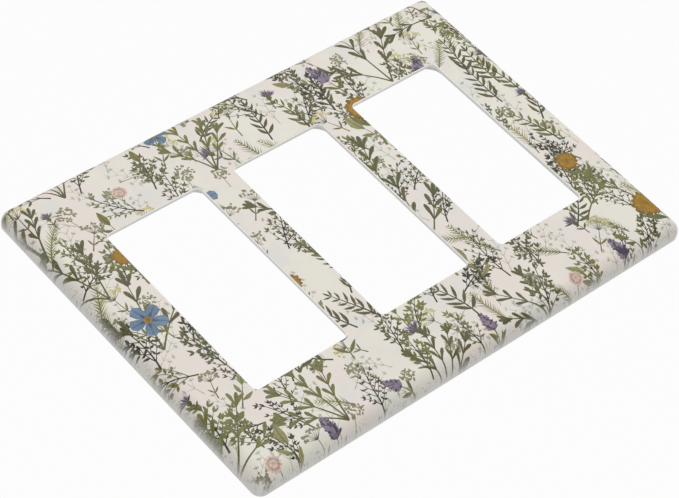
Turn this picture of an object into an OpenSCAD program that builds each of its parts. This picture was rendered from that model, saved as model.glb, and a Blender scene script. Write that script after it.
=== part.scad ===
// Three-gang screwless wall plate for rocker switches and rocker-style outlets.
// A moulded front cover snaps over a mounting plate, and six screws hold that plate to the devices.
// The back of both mouldings lies in the plane z = 0, which is the wall. +Z is out of the wall, +Y is up.

/* [Front cover] */
// Width of the cover across all three gangs
cover_w = 163.5; // [160:0.5:172]
// Height of the cover
cover_h = 117.3; // [115:0.1:124]
// Depth of the cover, from the wall to its face
cover_d = 6.4; // [6:0.1:7]
// Thickness of the face
face_t = 1.05; // [0.9:0.05:1.6]
// Thickness of the side walls
wall_t = 1.6; // [1.3:0.05:1.9]
// Corner radius at the wall, seen from the front
corner_r = 3; // [2:0.1:4.4]
// Radius that rolls the face over into the side walls
edge_r = 4.8; // [4.5:0.1:5.4]

/* [Windows] */
// Distance from gang to gang
gang_pitch = 46.04; // [45.6:0.02:46.6]
// Width of a rocker window
window_w = 33.3; // [32.8:0.1:33.8]
// Height of a rocker window
window_h = 66.7; // [66:0.1:67.4]
// Corner radius of a window
window_r = 1.5; // [1:0.1:3]
// Radius that softens the front edge of a window
window_edge = 0.35; // [0.2:0.05:0.6]

/* [Collars and ribs inside the cover] */
// Step from the window's edge back to the collar behind it
collar_step = 2.6; // [2.4:0.05:2.7]
// Thickness of the collars and ribs
rib_t = 1.1; // [0.9:0.05:1.2]
// How far the collars reach back from the face
collar_d = 2.8; // [2.5:0.1:3.2]
// Distance of a stiffening rib from the middle of its gang
rib_offset = 13; // [11:0.5:15]

/* [Snap hooks] */
// Width of a hook
hook_w = 8; // [6:0.5:9]
// Thickness of a hook
hook_t = 1.3; // [1:0.05:1.5]
// How far a hook's nose stands out
hook_nose = 0.8; // [0.5:0.05:1]
// Gap between a hook's tip and the wall behind it
hook_lift = 0.5; // [0.3:0.05:0.8]
// How far a nose's upper edge stands above the underside of its catch
nose_overlap = 0.1; // [0.05:0.05:0.2]
// Distance of the hooks on the short sides from the middle
side_hook_y = 30; // [24:0.5:34]

/* [Mounting plate] */
// Thickness of the mounting plate
plate_t = 1.8; // [1.6:0.05:2]
// Thickness of the lip that a hook's nose catches under
catch_t = 1; // [0.8:0.05:1.1]
// Height of the raised rims above the wall
rim_z = 3.2; // [3:0.05:3.4]
// Thickness of the raised rims
rim_t = 1.2; // [1:0.05:1.3]
// Corner radius of the mounting plate
plate_r = 3; // [2:0.1:4]
// Diameter of a screw boss
boss_d = 10.4; // [9.6:0.1:11.5]
// Height of a screw boss above the wall
boss_z = 3; // [2.9:0.05:3.2]
// Width of a screw slot
hole_d = 4; // [3.8:0.05:4.4]
// How far a screw can be shifted each way in its slot
slot_shift = 1.2; // [0.6:0.1:1.4]
// Side of a raised arrow that shows which way is up
arrow_size = 5; // [3:0.5:7]
// How far an arrow stands up from the plate
arrow_t = 0.4; // [0.3:0.1:0.8]

/* [Mounting screws] */
// Distance between the upper and the lower screws
screw_span = 96.84; // [96:0.02:97.4]
// Diameter over the thread
screw_d = 3.5; // [3.3:0.05:3.6]
// Overall length of a screw
screw_l = 15.9; // [12:0.1:19]
// Diameter of the head
head_d = 6.9; // [6.6:0.1:7.2]
// Included angle of the head's cone, in degrees
head_angle = 82; // [80:1:84]
// Distance from thread to thread
thread_pitch = 0.79; // [0.7:0.01:1]
// Depth of the thread
thread_depth = 0.42; // [0.3:0.02:0.5]
// Diameter of the plain neck below the head
neck_d = 3; // [2.7:0.05:3.1]
// Length of the plain neck below the head
neck_l = 1; // [0.9:0.1:2]
// Width of the screwdriver slot
drive_w = 1.1; // [0.9:0.05:1.3]
// Depth of the screwdriver slot
drive_d = 0.9; // [0.7:0.05:1]

/* [Clearances] */
// Gap between the mounting plate and the cover's side walls
wall_gap = 0.6; // [0.4:0.05:0.9]
// Gap between a collar and the rim that it drops into
nest_gap = 0.5; // [0.3:0.05:0.55]
// Gap between the cover's ribs and the rims below them
rest_gap = 0.1; // [0.05:0.05:0.2]
// Gap between a hook's nose and its catch
catch_gap = 0.06; // [0.04:0.01:0.1]
// Room beside a hook in its notch
hook_room = 1; // [0.8:0.1:1.4]
// Gap between the back of a hook and the line of the plate's edge
hook_back = 0.5; // [0.3:0.05:0.7]
// Gap between a screw's head and its countersink
seat_gap = 0.05; // [0.03:0.01:0.08]

/* [Hidden] */
$fn = 64;
// Overlap that joins two features of one moulding, and run-out of a cutter past a face
bite = 0.2;
gangs = [-1, 0, 1];
sides = [-1, 1];

// The cavity inside the cover
cavity_w = cover_w - 2 * wall_t;
cavity_h = cover_h - 2 * wall_t;
face_z = cover_d - face_t;
// Least corner radius inside the cavity
inner_r = 0.4;
// The collars behind the windows, seen from the front
collar_w = window_w + 2 * (collar_step + rib_t);
collar_h = window_h + 2 * (collar_step + rib_t);
collar_r = window_r + collar_step + rib_t;
// The mounting plate's windows and outline
port_w = collar_w + 2 * nest_gap;
port_h = collar_h + 2 * nest_gap;
port_r = collar_r + nest_gap;
plate_w = cavity_w - 2 * wall_gap;
plate_h = cavity_h - 2 * wall_gap;
// The ribs stop just above the rims
rib_z = rim_z + rest_gap;
// A hook hangs beside the wall, and its nose points to the middle of the plate
hook_gap = wall_gap + hook_back;
notch_d = hook_back + hook_t + hook_nose + catch_gap;
catch_z = plate_t - catch_t;
nose_z = catch_z + nose_overlap;
nose_land = 0.15;
// The rim that runs round the mounting plate inside its notches
frame_inset = notch_d + hook_nose + catch_gap;
frame_w = plate_w - 2 * frame_inset;
frame_h = plate_h - 2 * frame_inset;
// The screws
screw_y = screw_span / 2;
head_r = head_d / 2;
thread_r = screw_d / 2;
root_r = thread_r - thread_depth;
neck_r = neck_d / 2;
head_land = 0.25;
head_chamfer = 0.12;
cone_slope = tan(head_angle / 2);
cone_h = (head_r - neck_r) / cone_slope;
tip_l = 0.9;
// Shares of the pitch that the thread's crest and root take
crest_share = 0.25;
root_share = 0.15;

white = [0.93, 0.92, 0.89];
ivory = [0.86, 0.86, 0.84];
zinc = [0.72, 0.73, 0.75];

// A flat rectangle with round corners, centred on the origin
module round_rect(w, h, r) {
    square([w - 2 * r, h], center = true);
    square([w, h - 2 * r], center = true);
    for (x = sides, y = sides)
        translate([x * (w / 2 - r), y * (h / 2 - r)])
            circle(r);
}

// A plate with round corners, standing on z = z0
module slab(w, h, r, z0, z1) {
    translate([0, 0, z0])
        linear_extrude(z1 - z0)
            round_rect(w, h, r);
}

// A raised ring that follows a window
module ring(w, h, r, t, z0, z1) {
    difference() {
        slab(w + 2 * t, h + 2 * t, r + t, z0, z1);
        slab(w, h, r, z0 - bite, z1 + bite);
    }
}

// A slab's cross-section, w wide and d high, whose upper corners are rolled over
module rolled_section(w, d, roll) {
    translate([-w / 2, 0])
        square([w, d - roll]);
    translate([roll - w / 2, 0])
        square([w - 2 * roll, d]);
    for (side = sides)
        translate([side * (w / 2 - roll), d - roll])
            circle(roll);
}

// A bar along X with that cross-section
module rolled_bar(l, w, d, roll) {
    translate([-l / 2, 0, 0])
        rotate([90, 0, 90])
            linear_extrude(l)
                rolled_section(w, d, roll);
}

// A corner turned from the profile given as its child. Short straight ends carry it on into the sides
module turned_corner() {
    rotate_extrude(angle = 90)
        children();
    rotate([90, 0, 0])
        linear_extrude(bite)
            children();
    translate([-bite, 0, 0])
        rotate([90, 0, 90])
            linear_extrude(bite)
                children();
}

// A block with a rolled upper edge. Its corners have the radius r at the foot, and where the roll reaches
// further in than that radius, the two sides meet in a mitre
module rolled_block(w, h, r, d, roll) {
    // The centre of a corner
    x = w / 2 - r;
    y = h / 2 - r;
    intersection() {
        rolled_bar(w, h, d, roll);
        rotate(90)
            rolled_bar(h, w, d, roll);
        linear_extrude(d) {
            translate([-x, -h / 2])
                square([2 * x, h]);
            translate([-w / 2, -y])
                square([w, 2 * y]);
        }
    }
    for (turn = [0:3])
        rotate(turn * 90)
            translate([turn % 2 == 0 ? x : y, turn % 2 == 0 ? y : x, 0])
                turned_corner()
                    intersection() {
                        square([r, d]);
                        translate([r - w / 2, 0])
                            rolled_section(w, d, roll);
                    }
}

// A block whose edge has the profile given as its child: x runs outwards from the centre of a corner, y is the height
module profiled_block(w, h, r, d) {
    x = w / 2 - r;
    y = h / 2 - r;
    for (turn = [0:3]) {
        long = turn % 2 == 0 ? x : y;
        wide = turn % 2 == 0 ? y : x;
        rotate(turn * 90) {
            translate([long, wide, 0])
                turned_corner()
                    children();
            translate([long, -wide, 0])
                rotate([90, 0, 180])
                    mirror([1, 0, 0])
                        linear_extrude(2 * wide)
                            children();
        }
    }
    translate([-x, -y, 0])
        cube([2 * x, 2 * y, d]);
}

// The edge of a window cutter that flares at the front face
module flared_profile(r, d, flare) {
    square([r, d]);
    translate([r - bite, d - flare])
        difference() {
            square([bite + flare, flare]);
            translate([bite + flare, 0])
                circle(flare);
        }
}

// One gang's window, cut through the face
module window_cutter() {
    cut_d = face_t + bite;
    translate([0, 0, cover_d - cut_d])
        profiled_block(window_w, window_h, window_r, cut_d)
            flared_profile(window_r, cut_d, window_edge);
}

module cover_shell() {
    difference() {
        rolled_block(cover_w, cover_h, corner_r, cover_d, edge_r);
        translate([0, 0, -bite])
            rolled_block(cavity_w, cavity_h, max(corner_r - wall_t, inner_r), face_z + bite, edge_r - wall_t);
        for (gang = gangs)
            translate([gang * gang_pitch, 0, 0])
                window_cutter();
    }
}

// The collar behind each window drops into the mounting plate's window and centres the cover
module collars() {
    for (gang = gangs)
        translate([gang * gang_pitch, 0, 0])
            ring(collar_w - 2 * rib_t, collar_h - 2 * rib_t, collar_r - rib_t, rib_t,
                 face_z - collar_d, face_z + bite);
}

// A straight rib between two points that share x or y
module rib(x0, x1, y0, y1) {
    translate([min(x0, x1) - (x0 == x1 ? rib_t / 2 : 0), min(y0, y1) - (y0 == y1 ? rib_t / 2 : 0), rib_z])
        cube([x0 == x1 ? rib_t : abs(x1 - x0), y0 == y1 ? rib_t : abs(y1 - y0), face_z - rib_z + bite]);
}

// Ribs that tie the collars to the walls and to each other. They end in the middle of the shell's thickness
module stiffening_ribs() {
    intersection() {
        rolled_block(cover_w - wall_t, cover_h - wall_t, max(corner_r - wall_t / 2, inner_r),
                     cover_d - face_t / 2, edge_r - wall_t / 2);
        for (gang = gangs, off = sides, side = sides) {
            x = gang * gang_pitch + off * rib_offset;
            rib(x, x, side * (collar_h / 2 - bite), side * cover_h / 2);
        }
    }
    intersection() {
        rolled_block(cover_w - wall_t, cover_h - wall_t, max(corner_r - wall_t / 2, inner_r),
                     cover_d - face_t / 2, edge_r - wall_t / 2);
        for (side = sides, y = [-window_h / 3, 0, window_h / 3])
            rib(side * (gang_pitch + collar_w / 2 - bite), side * cover_w / 2, y, y);
    }
    for (side = sides, y = [-window_h / 3, 0, window_h / 3])
        rib(side * (collar_w / 2 - bite), side * (gang_pitch - collar_w / 2 + bite), y, y);
}

// A hook that hangs from the face. Its back is at y = 0, its nose points along -Y and its width is along X
module hook() {
    translate([-hook_w / 2, 0, 0])
        rotate([90, 0, 90])
            linear_extrude(hook_w)
                polygon([[0, face_z + bite], [0, hook_lift], [-hook_t, hook_lift],
                         [-hook_t - hook_nose, nose_z - nose_land], [-hook_t - hook_nose, nose_z],
                         [-hook_t, nose_z], [-hook_t, face_z + bite]]);
}

// Places its child at every hook or catch: the child's Y points outwards, and y = 0 is the cavity's wall.
// The hooks on the long sides stand halfway between the screws and half a gang outside them
module at_hooks() {
    for (side = sides) {
        for (half = [-3, -1, 1, 3])
            translate([half * gang_pitch / 2, side * cavity_h / 2, 0])
                rotate(side > 0 ? 0 : 180)
                    children();
        for (y = sides)
            translate([side * cavity_w / 2, y * side_hook_y, 0])
                rotate(side * -90)
                    children();
    }
}

module front_cover() {
    color(white) {
        cover_shell();
        collars();
        stiffening_ribs();
        at_hooks()
            translate([0, -hook_gap, 0])
                hook();
    }
}

// The cut that a screw's head and neck need, long enough to shift the screw sideways
module screw_slot() {
    wide = head_r + seat_gap;
    narrow = hole_d / 2;
    depth = (wide - narrow) / cone_slope;
    sink_z = boss_z - head_land - depth;
    for (x = sides)
        translate([x * slot_shift, 0, 0]) {
            translate([0, 0, -bite])
                cylinder(r = narrow, h = boss_z + bite);
            translate([0, 0, sink_z])
                cylinder(r1 = narrow, r2 = wide, h = depth);
            translate([0, 0, boss_z - head_land])
                cylinder(r = wide, h = head_land + bite);
        }
    translate([-slot_shift, 0, 0])
        rotate([90, 0, 90])
            linear_extrude(2 * slot_shift)
                polygon([[-narrow, -bite], [narrow, -bite], [narrow, sink_z], [wide, boss_z - head_land],
                         [wide, boss_z + bite], [-wide, boss_z + bite], [-wide, boss_z - head_land],
                         [-narrow, sink_z]]);
}

// Places its child at every screw
module at_screws() {
    for (gang = gangs, row = sides)
        translate([gang * gang_pitch, row * screw_y, 0])
            children();
}

// The notch that a hook drops into. Its front half is narrower, and that lip is the catch
module catch_notch() {
    notch_w = hook_w + 2 * hook_room;
    translate([-notch_w / 2, -wall_gap - notch_d, -bite])
        cube([notch_w, notch_d + wall_gap, plate_t + 2 * bite]);
    translate([-notch_w / 2, -wall_gap - notch_d - hook_nose, -bite])
        cube([notch_w, notch_d, catch_z + bite]);
}

module raised_rims() {
    for (gang = gangs)
        translate([gang * gang_pitch, 0, 0])
            ring(port_w, port_h, port_r, rim_t, plate_t - bite, rim_z);
    ring(frame_w - 2 * rim_t, frame_h - 2 * rim_t, plate_r, rim_t, plate_t - bite, rim_z);
}

// Raised triangles between the upper screws that point up the wall
module up_arrows() {
    for (side = sides)
        translate([side * gang_pitch / 2, screw_y - arrow_size, plate_t - bite])
            linear_extrude(bite + arrow_t)
                polygon([[-arrow_size / 2, 0], [arrow_size / 2, 0], [0, arrow_size]]);
}

module mounting_plate() {
    color(ivory)
        difference() {
            union() {
                slab(plate_w, plate_h, plate_r, 0, plate_t);
                raised_rims();
                at_screws()
                    cylinder(d = boss_d, h = boss_z);
                up_arrows();
            }
            for (gang = gangs)
                translate([gang * gang_pitch, 0, 0])
                    slab(port_w, port_h, port_r, -bite, rim_z + bite);
            at_screws()
                screw_slot();
            at_hooks()
                catch_notch();
        }
}

// Points down the side of the threaded shank: a crest and a groove for each turn
function thread_points(z0, z1) =
    let (turns = floor((z0 - z1) / thread_pitch))
    [for (i = [0:turns - 1]) let (z = z0 - i * thread_pitch) each [
        [thread_r, z],
        [thread_r, z - thread_pitch * crest_share],
        [root_r, z - thread_pitch * (1 + crest_share - root_share) / 2],
        [root_r, z - thread_pitch * (1 + crest_share + root_share) / 2]]];

// One screw, seated in its slot, with its driver slot upright
module mounting_screw(gang, row) {
    top = boss_z;
    cone_top = top - head_land;
    neck_top = cone_top - cone_h;
    tip = top - screw_l;
    translate([gang * gang_pitch, row * screw_y, 0])
        color(zinc)
            difference() {
                rotate_extrude()
                    polygon(concat(
                        [[0, top], [head_r - head_chamfer, top], [head_r, top - head_chamfer], [head_r, cone_top],
                         [neck_r, neck_top], [neck_r, neck_top - neck_l]],
                        thread_points(neck_top - neck_l - thread_pitch * root_share, tip + tip_l),
                        [[thread_r, tip + tip_l], [root_r, tip], [0, tip]]));
                translate([-drive_w / 2, -head_d, top - drive_d])
                    cube([drive_w, 2 * head_d, drive_d + bite]);
            }
}

front_cover();
mounting_plate();
mounting_screw(-1, 1);  // screw_top_left
mounting_screw(0, 1);  // screw_top_middle
mounting_screw(1, 1);  // screw_top_right
mounting_screw(-1, -1);  // screw_bottom_left
mounting_screw(0, -1);  // screw_bottom_middle
mounting_screw(1, -1);  // screw_bottom_right
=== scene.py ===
"""Looks for a three-gang screwless wall plate: a printed cover, its mounting plate and six screws.

The printed film on the cover is real geometry. A seeded generator grows sprays of leaves and flowers as
flat marks, a triangulation cuts them into two closed skins that follow the cover's face and its rolled
edge, and the material shades each mark along its own midrib.
"""

from __future__ import annotations

import logging
import math
import random
from collections.abc import Callable
from dataclasses import dataclass, field
from enum import Enum

import bmesh
import bpy
import numpy as np
from mathutils import Matrix, Vector
from mathutils.geometry import delaunay_2d_cdt

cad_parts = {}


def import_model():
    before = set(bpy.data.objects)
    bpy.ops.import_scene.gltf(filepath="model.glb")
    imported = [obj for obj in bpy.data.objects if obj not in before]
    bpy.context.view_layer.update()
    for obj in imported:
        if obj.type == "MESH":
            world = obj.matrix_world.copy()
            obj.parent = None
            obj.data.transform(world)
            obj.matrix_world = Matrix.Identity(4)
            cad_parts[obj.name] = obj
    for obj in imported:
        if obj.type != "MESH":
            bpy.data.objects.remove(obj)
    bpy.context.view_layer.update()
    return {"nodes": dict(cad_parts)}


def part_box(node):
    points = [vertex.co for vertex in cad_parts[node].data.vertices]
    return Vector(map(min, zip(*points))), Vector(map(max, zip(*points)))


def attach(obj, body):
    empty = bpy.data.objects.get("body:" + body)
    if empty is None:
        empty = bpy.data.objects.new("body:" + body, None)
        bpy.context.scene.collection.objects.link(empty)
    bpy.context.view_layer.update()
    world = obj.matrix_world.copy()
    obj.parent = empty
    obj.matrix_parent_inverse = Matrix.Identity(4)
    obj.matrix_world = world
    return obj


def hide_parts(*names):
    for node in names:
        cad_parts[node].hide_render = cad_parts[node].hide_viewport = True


LOG = logging.getLogger("wall_plate")
MM = 0.001
UP = 90.0
TINY = 1e-9
SIDES = (-1, 1)
GANGS = (-1, 0, 1)

Point = tuple[float, float]
Colour = tuple[float, float, float]
Path = list[tuple[Point, float]]


def srgb(red: int, green: int, blue: int) -> Colour:
    """Turns an 8-bit colour into linear values.

    Args:
        red: Red, 0 to 255.
        green: Green, 0 to 255.
        blue: Blue, 0 to 255.

    Returns:
        The colour as Blender's sockets hold it.
    """
    parts = [value / 255 for value in (red, green, blue)]
    return tuple(v / 12.92 if v <= 0.04045 else ((v + 0.055) / 1.055) ** 2.4 for v in parts)


# ---------------------------------------------------------------- the cover's surface


@dataclass
class CoverShape:
    """Outer surface of the front cover in millimetres, with the face parallel to the wall."""

    half_w: float
    half_h: float
    depth: float
    corner_r: float = 3.0
    edge_r: float = 4.8
    gang_pitch: float = 46.04
    window_w: float = 33.3
    window_h: float = 66.7
    window_r: float = 1.5
    window_edge: float = 0.35
    corner_steps: int = 8

    @classmethod
    def from_frame(cls) -> CoverShape:
        """Reads the cover's outer sizes from its solid.

        Returns:
            The shape, centred on the middle window.
        """
        low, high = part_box("front_cover")
        return cls((high[0] - low[0]) / 2 / MM, (high[1] - low[1]) / 2 / MM, high[2] / MM)

    @property
    def wall_top(self) -> float:
        """Height at which the upright side wall ends and the rolled edge begins."""
        return self.depth - self.edge_r

    def inset(self, x: np.ndarray, y: np.ndarray) -> tuple[np.ndarray, np.ndarray, np.ndarray]:
        """Measures how far points lie inside the outline.

        Args:
            x: X of each point.
            y: Y of each point.

        Returns:
            The inset, and the X and Y of the unit vector that points outwards.
        """
        to_x, to_y = self.half_w - np.abs(x), self.half_h - np.abs(y)
        over_x, over_y = self.corner_r - to_x, self.corner_r - to_y
        in_corner = (over_x > 0) & (over_y > 0)
        reach = np.maximum(np.hypot(over_x, over_y), TINY)
        side_x = to_x < to_y
        out_x = np.where(in_corner, over_x / reach, np.where(side_x, 1.0, 0.0)) * np.sign(x)
        out_y = np.where(in_corner, over_y / reach, np.where(side_x, 0.0, 1.0)) * np.sign(y)
        inset = np.where(in_corner, self.corner_r - reach, np.minimum(to_x, to_y))
        return np.maximum(inset, 0.0), out_x, out_y

    def surface(self, x: np.ndarray, y: np.ndarray, proud: float) -> tuple[np.ndarray, np.ndarray]:
        """Lifts points of the plan onto the cover.

        Args:
            x: X of each point.
            y: Y of each point.
            proud: How far the result stands off the surface.

        Returns:
            The lifted points and their normals, one row each.
        """
        inset, out_x, out_y = self.inset(x, y)
        level = np.clip(1 - inset / self.edge_r, 0, 1)
        rise = np.sqrt(1 - level**2)
        normals = np.stack([out_x * level, out_y * level, rise], axis=1)
        points = np.stack([x, y, self.wall_top + self.edge_r * rise], axis=1)
        return points + normals * proud, normals

    def outline(self, inset: float) -> list[Point]:
        """Draws the outline moved inwards.

        Args:
            inset: How far it is moved.

        Returns:
            The points, anticlockwise.
        """
        return round_rect(self.half_w - inset, self.half_h - inset, self.corner_r - inset,
                          self.corner_steps)

    def window(self, gang: int) -> list[Point]:
        """Draws one gang's window as wide as it is at the face, outside its broken edge.

        Args:
            gang: One of GANGS.

        Returns:
            The points, anticlockwise.
        """
        grow = self.window_edge
        shape = round_rect(self.window_w / 2 + grow, self.window_h / 2 + grow, self.window_r + grow,
                           self.corner_steps)
        return [(x + gang * self.gang_pitch, y) for x, y in shape]

    def in_window(self, x: float, y: float, grow: float) -> bool:
        """Tells whether a point lies in a window that is grown on all sides."""
        gang = max(-1, min(1, round(x / self.gang_pitch)))
        near_x = abs(x - gang * self.gang_pitch) < self.window_w / 2 + grow
        return near_x and abs(y) < self.window_h / 2 + grow


def round_rect(half_w: float, half_h: float, radius: float, steps: int) -> list[Point]:
    """Draws a rectangle with round corners, centred on the origin.

    Args:
        half_w: Half of its width.
        half_h: Half of its height.
        radius: Corner radius. Sharp corners result where it isn't above zero.
        steps: Segments in each corner.

    Returns:
        The points, anticlockwise.
    """
    points = []
    for turn, (sx, sy) in enumerate(((1, 1), (-1, 1), (-1, -1), (1, -1))):
        if radius <= TINY:
            points.append((sx * half_w, sy * half_h))
            continue
        for step in range(steps + 1):
            angle = math.radians(90 * (turn + step / steps))
            points.append((sx * (half_w - radius) + radius * math.cos(angle),
                           sy * (half_h - radius) + radius * math.sin(angle)))
    return points


# ---------------------------------------------------------------- the botanical print


class Ink(Enum):
    """Pigments of the print."""

    DARK_OLIVE = srgb(41, 40, 17)
    OLIVE = srgb(79, 78, 42)
    MOSS = srgb(101, 101, 51)
    SAGE = srgb(126, 123, 79)
    GREY_GREEN = srgb(118, 115, 88)
    MIST = srgb(158, 157, 144)
    STRAW = srgb(170, 162, 112)
    OCHRE = srgb(136, 101, 12)
    RUST = srgb(114, 83, 14)
    VIOLET = srgb(66, 54, 70)
    LILAC = srgb(116, 104, 120)
    PINK = srgb(184, 162, 150)
    ROSE = srgb(160, 133, 122)
    BLUE = srgb(86, 108, 128)
    SLATE = srgb(54, 70, 90)


class Outline(Enum):
    """Half outlines of the marks: places along the mark, and the share of its half width there."""

    LEAF = ((0.0, 0.0), (0.22, 0.72), (0.48, 1.0), (0.78, 0.6), (1.0, 0.0))
    LEAFLET = ((0.0, 0.0), (0.38, 1.0), (0.75, 0.7), (1.0, 0.0))
    BUD = ((0.0, 0.0), (0.42, 1.0), (1.0, 0.0))
    BLADE = ((0.0, 0.5), (0.4, 1.0), (1.0, 0.0))
    NEEDLE = ((0.0, 1.0), (1.0, 0.0))
    SPATULA = ((0.0, 0.2), (0.35, 0.6), (0.72, 1.0), (0.93, 0.7), (1.0, 0.15))
    PETAL = ((0.0, 0.15), (0.45, 0.85), (0.8, 1.0), (1.0, 0.4))
    DOT = ((0.0, 0.5), (0.5, 1.0), (1.0, 0.5))


@dataclass(frozen=True)
class Mark:
    """One flat shape of ink and the frame that its shading follows."""

    points: tuple[Point, ...]
    colour: Colour
    foot: Point
    along: Point
    length: float
    half_width: float
    bend: float
    vein: float


@dataclass
class Herbal:
    """Grows the print's plants, which all lean about the way up as the plate is mounted."""

    shape: CoverShape
    seed: int = 41
    margin: float = 5.0
    overhang: float = 2.0
    tries: int = 6000
    window_lift: float = 0.5
    window_shrink: float = 0.45
    faint_gap: float = 11.5
    plant_gap: float = 8.0
    spray_gap: float = 19.0
    bloom_gap: float = 19.0
    wobble: tuple[float, float] = (0.9, 1.1)
    stem_taper: float = 0.55
    marks: list[Mark] = field(default_factory=list)

    def __post_init__(self) -> None:
        """Starts the random draws from the seed."""
        self.draw = random.Random(self.seed)

    def vary(self, value: float, share: float = 0.2) -> float:
        """Returns the value, more or less by up to the share."""
        return value * self.draw.uniform(1 - share, 1 + share)

    def tint(self, ink: Ink, share: float = 0.14) -> Colour:
        """Mixes a pigment a little lighter, darker, warmer or cooler.

        Args:
            ink: The pigment.
            share: Most that a channel changes by.

        Returns:
            The linear colour.
        """
        light = self.draw.uniform(1 - share, 1 + share)
        warm = self.draw.uniform(-share, share) / 3
        red, green, blue = ink.value
        return red * light * (1 + warm), green * light, blue * light * (1 - warm)

    def mark(self, foot: Point, heading: float, length: float, width: float, ink: Ink,
             outline: Outline = Outline.LEAFLET, vein: float = 0.5, bend: float = 0.0) -> None:
        """Adds one shape that starts at its foot.

        Args:
            foot: Where it starts.
            heading: Where it points, in degrees from +X.
            length: Its length.
            width: Its greatest width.
            ink: Its pigment.
            outline: Its form.
            vein: Strength of its midrib.
            bend: How far its middle bows out, as a share of its length.
        """
        angle = math.radians(heading)
        along, across = (math.cos(angle), math.sin(angle)), (-math.sin(angle), math.cos(angle))
        half = width / 2

        def place(u: float, w: float) -> Point:
            off = w * half * self.draw.uniform(*self.wobble) + bend * length * 4 * u * (1 - u)
            return (foot[0] + along[0] * u * length + across[0] * off,
                    foot[1] + along[1] * u * length + across[1] * off)

        right = [place(u, -w) for u, w in outline.value]
        left = [place(u, w) for u, w in reversed(outline.value) if w > 0]
        points = tuple(right + left)
        self.marks.append(Mark(points, self.tint(ink), foot, along, length, half, bend, vein))

    def path(self, foot: Point, heading: float, length: float, curl: float, steps: int) -> Path:
        """Walks along a curved stem.

        Args:
            foot: Where it starts.
            heading: Where it starts towards, in degrees.
            length: Its length.
            curl: How far it turns over its length, in degrees.
            steps: Straight stretches in it.

        Returns:
            Each point with the heading there.
        """
        spots = [(foot, heading)]
        stretch = length / steps
        for step in range(steps):
            (x, y), _ = spots[-1]
            turn = heading + curl * (step + 0.5) / steps
            angle = math.radians(turn)
            spots.append(((x + stretch * math.cos(angle), y + stretch * math.sin(angle)), turn))
        return spots

    def stem(self, spots: Path, width: float, ink: Ink) -> None:
        """Inks a stem that gets thinner along its path.

        Args:
            spots: The path.
            width: Its width at the foot.
            ink: Its pigment.
        """
        colour = self.tint(ink)
        last = len(spots) - 1
        for index, ((start, _), (end, _)) in enumerate(zip(spots, spots[1:])):
            dx, dy = end[0] - start[0], end[1] - start[1]
            length = math.hypot(dx, dy)
            nx, ny = -dy / length, dx / length
            a, b = (width / 2 * (1 - self.stem_taper * (index + k) / last) for k in (0, 1))
            points = ((start[0] - nx * a, start[1] - ny * a), (end[0] - nx * b, end[1] - ny * b),
                      (end[0] + nx * b, end[1] + ny * b), (start[0] + nx * a, start[1] + ny * a))
            along = (dx / length, dy / length)
            self.marks.append(Mark(points, colour, start, along, length, a, bend=0.0, vein=0.0))

    def stalk(self, foot: Point, heading: float, length: float, sway: float, steps: int, width: float,
              ink: Ink) -> Path:
        """Walks along a stem that curls either way, and inks it.

        Args:
            foot: Where it starts.
            heading: Where it starts towards, in degrees.
            length: Its length.
            sway: The most that it turns over its length, in degrees.
            steps: Straight stretches in it.
            width: Its width at the foot.
            ink: Its pigment.

        Returns:
            Its path.
        """
        spots = self.path(foot, heading, length, self.draw.uniform(-sway, sway), steps)
        self.stem(spots, width, ink)
        return spots

    def leaf_pair(self, foot: Point, heading: float, spread: float, length: float, width: float,
                  ink: Ink = Ink.MOSS) -> None:
        """Adds two veined leaves that part from one spot.

        Args:
            foot: Where they start.
            heading: The way between them, in degrees.
            spread: How far each turns away from it, in degrees. Below zero, the other one comes first.
            length: Their length.
            width: Their greatest width.
            ink: Their pigment.
        """
        for side in SIDES:
            self.mark(foot, heading + side * spread, length, width, ink, Outline.LEAF, vein=1.0)

    # Each of the next methods grows one kind of plant from its foot. Their bare numbers are shares of
    # the plant's size, angles in degrees, and widths of strokes in millimetres.

    def twig(self, foot: Point, heading: float, size: float, ink: Ink = Ink.OLIVE) -> None:
        """Grows a branched twig with small leaves."""
        spots = self.stalk(foot, heading, size, sway=28, steps=6, width=0.5, ink=Ink.DARK_OLIVE)
        side, leaf = self.draw.choice(SIDES), self.draw.uniform(1.2, 2.0)
        form = Outline.BUD if leaf < 1.7 else Outline.LEAFLET
        for index, (spot, turn) in enumerate(spots[1:], 1):
            for _ in range(2 if index < 5 else 1):
                side = -side
                reach = size * (0.42 - 0.045 * index) * self.draw.uniform(0.75, 1.2)
                arm = self.path(spot, turn + side * self.draw.uniform(26, 50), reach,
                                -side * self.draw.uniform(0, 25), 3 if reach > 4 else 2)
                self.stem(arm, 0.3, Ink.DARK_OLIVE)
                for step, (spot_on, bearing) in enumerate(arm[1:]):
                    for lean in SIDES if self.draw.random() < 0.4 else (1 - 2 * (step % 2),):
                        self.mark(spot_on, bearing + lean * self.draw.uniform(28, 62),
                                  self.vary(leaf, 0.3), leaf * 0.44, ink, form)
                self.mark(*arm[-1], leaf * 1.2, leaf * 0.42, ink, form)
        self.mark(*spots[-1], leaf * 1.4, leaf * 0.5, ink)

    def tuft(self, foot: Point, heading: float, size: float, ink: Ink = Ink.MOSS) -> None:
        """Grows several stems from one foot, with long blunt leaves that hug them."""
        count = self.draw.randint(2, 4)
        for index in range(count):
            share = 2 * index / (count - 1) - 1
            spots = self.path(foot, heading + share * 30, size * (1 - 0.2 * abs(share)),
                              share * self.draw.uniform(-5, 30), 4)
            self.stem(spots, 0.6, Ink.OLIVE)
            length = size * 0.24
            for spot, turn in spots[2:]:
                for side in SIDES:
                    self.mark(spot, turn + side * self.draw.uniform(18, 34), self.vary(length),
                              length * 0.25, ink, Outline.SPATULA, vein=1.0,
                              bend=side * self.draw.uniform(-0.08, 0.0))
            self.mark(*spots[-1], length, length * 0.26, ink, Outline.SPATULA, vein=1.0)

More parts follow.
